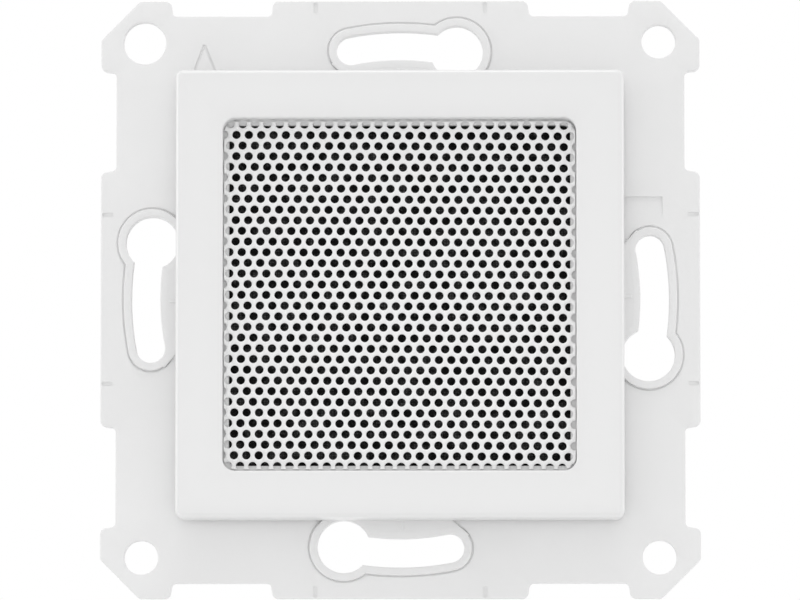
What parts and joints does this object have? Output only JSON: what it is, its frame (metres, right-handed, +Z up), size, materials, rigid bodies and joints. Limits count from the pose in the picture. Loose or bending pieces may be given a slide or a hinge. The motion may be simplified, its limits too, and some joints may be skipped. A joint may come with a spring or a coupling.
{
  "type": "in-wall radio loudspeaker unit",
  "caption": "Flush wall-box radio unit: square perforated grille in a white cover on a notched support plate with curved keyhole slots, loudspeaker and receiver housing behind.",
  "frame": {"origin": "on the unit's axis, in the plane of the wall (the back face of the support plate)", "axes": "+Y points into the wall, -Y out of it towards the room, +X is to the right and +Z is up for someone facing the wall"},
  "size_m": [0.0706, 0.041, 0.0706],
  "materials": {
    "plate_plastic": "satin",
    "cover_plastic": "semi-gloss",
    "grille_sheet": "satin paint",
    "acoustic_cloth": "fine open weave",
    "foam": "matt foam",
    "chassis_steel": "black satin",
    "surround_rubber": "matt",
    "cone_paper": "pressed paper",
    "winding_copper": "enamelled winding",
    "spider_cloth": "impregnated cloth",
    "magnet_steel": "zinc plated",
    "magnet_nickel": "nickel plated",
    "tag_strip": "hard paper",
    "contact_brass": "bright",
    "housing_plastic": "fine texture",
    "board_green": "solder mask",
    "transformer_tape": "wound tape",
    "capacitor_sleeve": "sleeve",
    "film_capacitor_case": "moulded box",
    "choke_ferrite": "ferrite",
    "module_board": "solder mask",
    "shield_tin": "tinned",
    "chip_black": "moulded",
    "terminal_plastic": "moulded",
    "clamp_brass": "tinned brass",
    "screw_steel": "zinc plated"
  },
  "bodies": {
    "unit": {"support_plate": "plate_plastic", "cover_frame": "cover_plastic", "grille": "grille_sheet", "dust_cloth": "acoustic_cloth", "speaker_gasket": "foam", "speaker_basket": "chassis_steel", "surround": "surround_rubber", "spider": "spider_cloth", "magnet_cup": "magnet_steel", "magnet": "magnet_nickel", "pole_disc": "magnet_steel", "speaker_terminal": "tag_strip", "contact_strips": "contact_brass", "rear_housing": "housing_plastic", "circuit_board": "board_green", "transformer": "transformer_tape", "smoothing_capacitor": "capacitor_sleeve", "film_capacitor": "film_capacitor_case", "choke": "choke_ferrite", "radio_module": "module_board", "module_shield": "shield_tin", "amplifier_chip": "chip_black", "terminal_block": "terminal_plastic", "terminal_clamps": "clamp_brass", "terminal_screws": "screw_steel"},
    "diaphragm": {"cone": "cone_paper", "dust_cap": "cone_paper", "voice_coil": "winding_copper"}
  },
  "joints": [
    {"name": "diaphragm_slide", "type": "slide", "parent": "unit", "child": "diaphragm", "axis": [0, -1, 0], "range_m": [-0.001, 0.001], "stiffness_N_per_m": 200, "deforming": ["surround", "spider"]}
  ]
}
